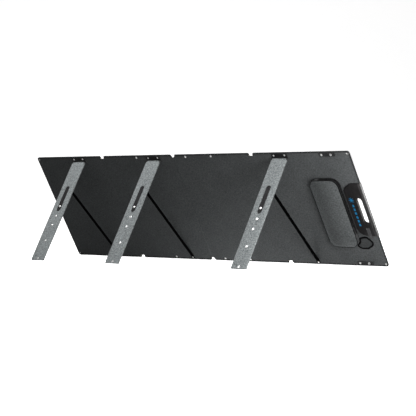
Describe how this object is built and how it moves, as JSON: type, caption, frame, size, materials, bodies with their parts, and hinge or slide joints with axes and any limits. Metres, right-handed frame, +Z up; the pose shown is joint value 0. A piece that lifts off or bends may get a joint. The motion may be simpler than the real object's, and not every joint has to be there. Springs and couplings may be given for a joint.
{
  "type": "folding solar panel",
  "caption": "Folding portable solar panel on prop legs with straps, side carry handle, zipped cable pouch and dark cells on its sun side.",
  "frame": {"origin": "bottom centre of the standing panel: on the ground, half way along the length and half way between the panel's bottom edge and the leg feet", "axes": "+X along the length towards the handle end, +Z up, sun side faces +Y and upwards, back and legs face -Y; the opened panel leans back 60 degrees from the ground and stands on its bottom edge and the legs"},
  "size_m": [2.02, 0.5736, 0.5142],
  "materials": {
    "back_fabric": "coarse plain weave polyester, charcoal melange",
    "edge_fabric": "black bound fabric edge",
    "gusset_fabric": "black coated fabric",
    "leg_fabric": "light heather grey fabric laminated to a flat board",
    "stiffener": "glass fibre reinforced board",
    "solar_cell": "dark blue-black silicon",
    "clear_film": "clear textured fluoropolymer film",
    "steel": "nickel plated",
    "black_plastic": "fine spark-eroded grain",
    "webbing": "black ribbed webbing",
    "accent": "blue print on the handle",
    "zip_tape": "coil zip",
    "cable_rubber": "satin cable jacket"
  },
  "bodies": {
    "section_2": {"back_cover_2": "back_fabric", "core_board_2": "stiffener", "solar_cells_2": "solar_cell", "front_film_2": "clear_film", "border_hem_2": "edge_fabric", "hinge_plate_2": "black_plastic", "metalwork_2": "steel", "leg_strap_2": "webbing", "fold_strip_1": "back_fabric", "fold_strip_2a": "back_fabric"},
    "section_1": {"back_cover_1": "back_fabric", "core_board_1": "stiffener", "solar_cells_1": "solar_cell", "front_film_1": "clear_film", "border_hem_1": "edge_fabric", "hinge_plate_1": "black_plastic", "metalwork_1": "steel", "leg_strap_1": "webbing"},
    "fold_slat": {"fold_slat_2": "back_fabric", "fold_strip_2b": "back_fabric"},
    "section_3": {"back_cover_3": "back_fabric", "core_board_3": "stiffener", "solar_cells_3": "solar_cell", "front_film_3": "clear_film", "border_hem_3": "edge_fabric", "metalwork_3": "steel", "fold_strip_3": "back_fabric"},
    "section_4": {"back_cover_4": "back_fabric", "core_board_4": "stiffener", "solar_cells_4": "solar_cell", "front_film_4": "clear_film", "border_hem_4": "edge_fabric", "hinge_plate_3": "black_plastic", "metalwork_4": "steel", "leg_strap_3": "webbing", "handle_back": "black_plastic", "handle_front": "black_plastic", "handle_screws": "steel", "handle_mark": "accent", "keeper_strap": "webbing", "pouch_tray": "gusset_fabric", "zipper_track": "zip_tape", "junction_box": "black_plastic", "output_cable": "cable_rubber", "cable_plug": "black_plastic"},
    "leg_1": {"leg_board_1": "leg_fabric", "leg_studs_1": "steel", "strap_tongue_1": "webbing"},
    "leg_2": {"leg_board_2": "leg_fabric", "leg_studs_2": "steel", "strap_tongue_2": "webbing"},
    "leg_3": {"leg_board_3": "leg_fabric", "leg_studs_3": "steel", "strap_tongue_3": "webbing"},
    "top_tab": {"closure_tab_top": "webbing"},
    "bottom_tab": {"closure_tab_bottom": "webbing"},
    "lid": {"pouch_lid": "back_fabric"},
    "slider": {"zipper_slider": "steel"},
    "flap": {"cable_flap": "back_fabric"}
  },
  "joints": [
    {"name": "fold_1", "type": "hinge", "parent": "section_2", "child": "section_1", "pos_m": [-0.53, 0.14002, 0.25908], "axis": [0, 0.5, -0.866], "range_deg": [0, 179.8], "deforming": ["fold_strip_1"]},
    {"name": "fold_2_near_crease", "type": "hinge", "parent": "section_2", "child": "fold_slat", "pos_m": [-0.052, 0.1331, 0.25508], "axis": [0, 0.5, -0.866], "range_deg": [0, 90], "deforming": ["fold_strip_2a"]},
    {"name": "fold_2_far_crease", "type": "hinge", "parent": "fold_slat", "child": "section_3", "pos_m": [-0.04, 0.1331, 0.25508], "axis": [0, 0.5, -0.866], "range_deg": [0, 90], "deforming": ["fold_strip_2b"]},
    {"name": "fold_3", "type": "hinge", "parent": "section_3", "child": "section_4", "pos_m": [0.4455, 0.14002, 0.25908], "axis": [0, -0.5, 0.866], "range_deg": [0, 179.8], "deforming": ["fold_strip_3"]},
    {"name": "leg_1_swing", "type": "hinge", "parent": "section_1", "child": "leg_1", "pos_m": [-0.703, -0.00323, 0.48121], "axis": [1, 0, 0], "range_deg": [0, 60.4], "deforming": ["leg_strap_1"]},
    {"name": "leg_2_swing", "type": "hinge", "parent": "section_2", "child": "leg_2", "pos_m": [-0.1785, -0.00323, 0.48121], "axis": [1, 0, 0], "range_deg": [0, 60.4], "deforming": ["leg_strap_2"]},
    {"name": "leg_3_swing", "type": "hinge", "parent": "section_4", "child": "leg_3", "pos_m": [0.6135, -0.00323, 0.48121], "axis": [1, 0, 0], "range_deg": [0, 60.4], "deforming": ["leg_strap_3"]},
    {"name": "top_tab_swivel", "type": "hinge", "parent": "section_4", "child": "top_tab", "pos_m": [0.8555, -0.00708, 0.49746], "axis": [0, -0.866, -0.5], "range_deg": [0, 90]},
    {"name": "bottom_tab_swivel", "type": "hinge", "parent": "section_4", "child": "bottom_tab", "pos_m": [0.8555, 0.27292, 0.01249], "axis": [0, 0.866, 0.5], "range_deg": [0, 90]},
    {"name": "pouch_lid_hinge", "type": "hinge", "parent": "section_4", "child": "lid", "pos_m": [0.743, 0.12377, 0.23584], "axis": [0, 0.5, -0.866], "range_deg": [0, 100]},
    {"name": "zipper_slide", "type": "slide", "parent": "section_4", "child": "slider", "axis": [0, -0.5, 0.866], "range_m": [0, 0.19]},
    {"name": "cable_flap_hinge", "type": "hinge", "parent": "section_4", "child": "flap", "pos_m": [0.972, 0.22136, 0.10281], "axis": [0, -0.5, 0.866], "range_deg": [0, 100]}
  ],
  "couplings": [
    {"joint": "fold_3", "follows": "fold_2_near_crease", "ratio": 1.997},
    {"joint": "leg_2_swing", "follows": "fold_2_near_crease", "ratio": 0.671}
  ]
}
